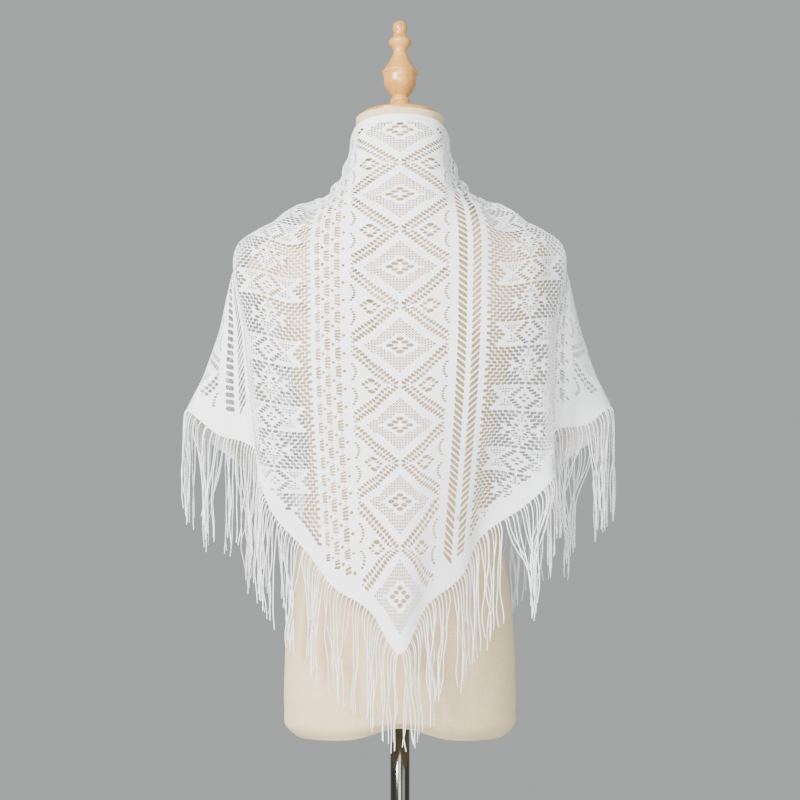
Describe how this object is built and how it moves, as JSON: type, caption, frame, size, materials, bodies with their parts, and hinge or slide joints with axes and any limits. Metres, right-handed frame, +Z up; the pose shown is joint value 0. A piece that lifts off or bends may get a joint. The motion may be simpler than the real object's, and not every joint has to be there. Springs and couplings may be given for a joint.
{
  "type": "lace triangle scarf on a dress form with a stand",
  "caption": "White knitted lace triangle scarf with a long cord fringe, worn over the back and shoulders of a limbless dress form on a round stand.",
  "frame": {"origin": "centre of the base's underside, on the floor", "axes": "+Z up; the scarf's back, as pictured, faces -Y and +X is to the right seen from there"},
  "size_m": [0.5738, 0.33, 1.4958],
  "materials": {
    "lace": "matt knitted lace",
    "fringe": "soft twisted cords",
    "linen": "plain linen weave",
    "wood": "varnished",
    "chrome": "polished",
    "base": "satin"
  },
  "bodies": {
    "root": {"scarf_back": "lace", "scarf_front_left": "lace", "scarf_front_right": "lace", "fringe_back_left": "fringe", "fringe_back_right": "fringe", "fringe_front_left": "fringe", "fringe_front_right": "fringe", "form_body": "linen", "neck_disc": "wood", "finial": "wood", "stand_pole": "chrome", "stand_base": "base"}
  },
  "joints": []
}
